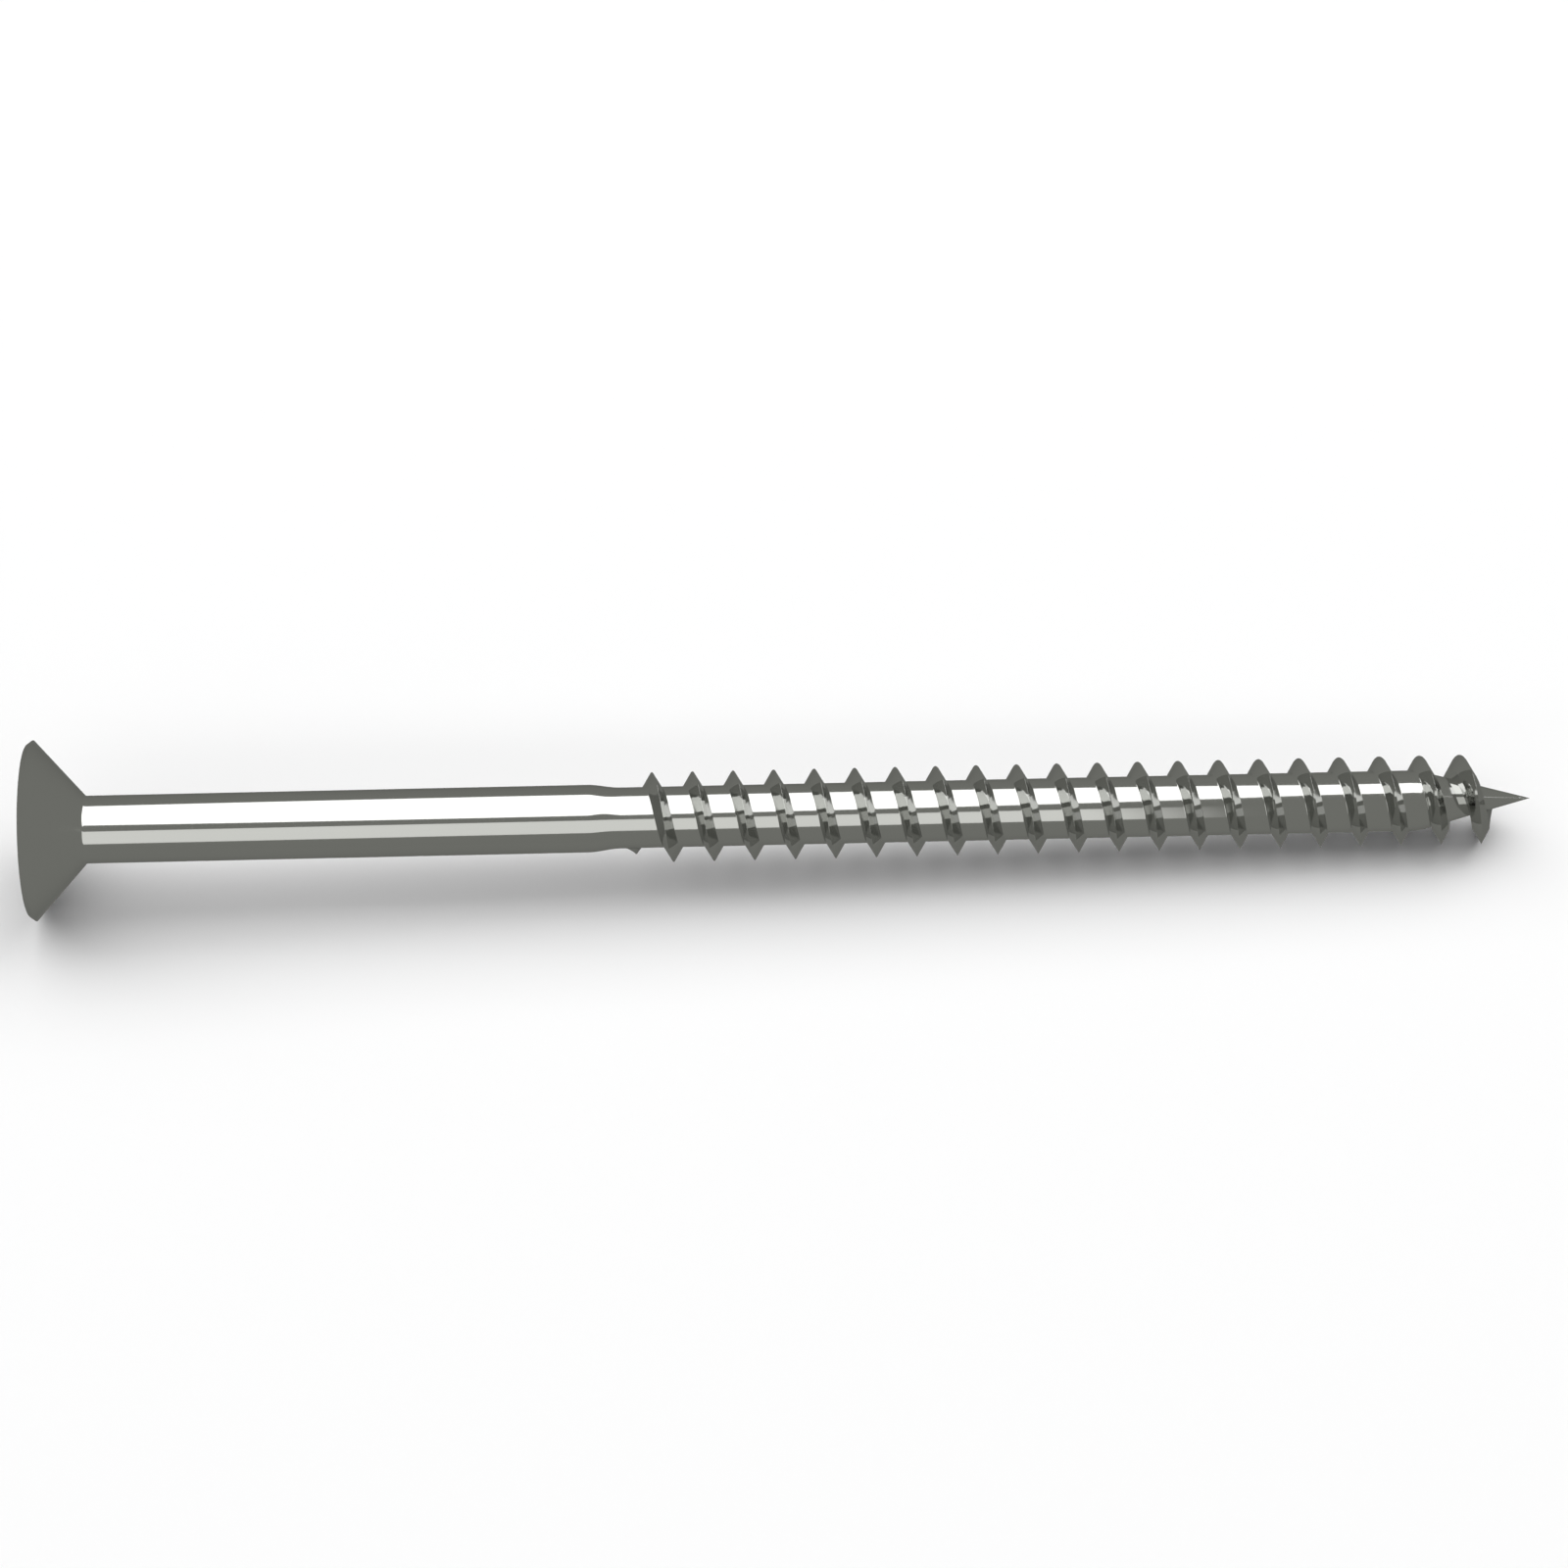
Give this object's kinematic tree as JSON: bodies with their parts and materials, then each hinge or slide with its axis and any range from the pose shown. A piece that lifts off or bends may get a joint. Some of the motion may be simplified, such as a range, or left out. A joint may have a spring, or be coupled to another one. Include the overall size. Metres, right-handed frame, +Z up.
{
  "type": "structural screw",
  "caption": "Countersunk structural wood screw with a six-lobe drive socket, smooth shank, coarse part thread and sharp point, lying on its side.",
  "frame": {"origin": "middle of the screw's box on the surface it lies on", "axes": "+X along the screw from the head towards the tip, +Z up; the axis slopes down to the tip by about 1.8 degrees because the screw lies on the rim of its head and the last crest of its thread"},
  "size_m": [0.1002, 0.012, 0.012],
  "materials": {
    "steel": "smooth bright steel, cold headed and thread rolled, with a mirror-like gloss"
  },
  "bodies": {
    "root": {"screw": "steel"}
  },
  "joints": []
}
